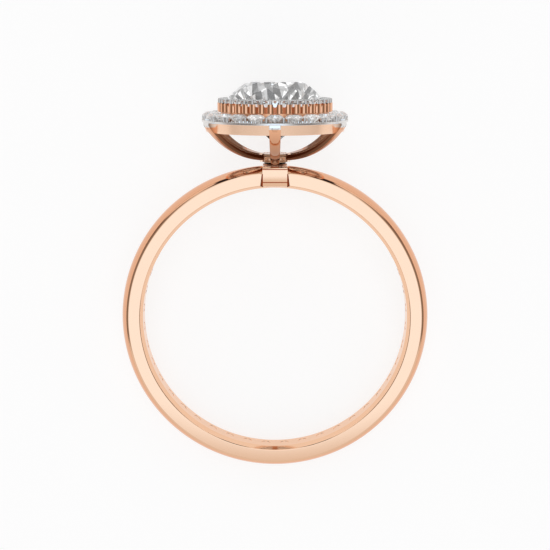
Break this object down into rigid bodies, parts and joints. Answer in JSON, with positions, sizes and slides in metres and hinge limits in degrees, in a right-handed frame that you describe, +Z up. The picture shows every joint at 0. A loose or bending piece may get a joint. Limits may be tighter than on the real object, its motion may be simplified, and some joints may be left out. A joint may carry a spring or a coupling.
{
  "type": "double halo ring",
  "caption": "Rose gold finger ring with a round centre stone over a ribbed collar and a wide stone halo on curved arms.",
  "frame": {"origin": "on the surface that the ring rests on, under the middle of its bounding box", "axes": "+Z up; +Y along the lying ring, from the foot of the band to the centre stone; +X across the ring"},
  "size_m": [0.0202, 0.0254, 0.0099],
  "materials": {
    "rose_gold": "polished",
    "rhodium": "polished",
    "diamond": "polished"
  },
  "bodies": {
    "root": {"shank": "rose_gold", "head": "rose_gold", "upper_halo": "rose_gold", "centre_stone": "diamond", "upper_halo_stones": "diamond", "halo_stone_01": "diamond", "halo_stone_02": "diamond", "halo_stone_03": "diamond", "halo_stone_04": "diamond", "halo_stone_05": "diamond", "halo_stone_06": "diamond", "halo_stone_07": "diamond", "halo_stone_08": "diamond", "halo_stone_09": "diamond", "halo_stone_10": "diamond", "halo_stone_11": "diamond", "halo_stone_12": "diamond", "halo_stone_13": "diamond", "halo_stone_14": "diamond", "halo_stone_15": "diamond", "halo_stone_16": "diamond", "halo_stone_17": "diamond", "halo_stone_18": "diamond", "halo_stone_19": "diamond", "halo_stone_20": "diamond", "halo_stone_21": "diamond", "halo_stone_22": "diamond"}
  },
  "joints": []
}
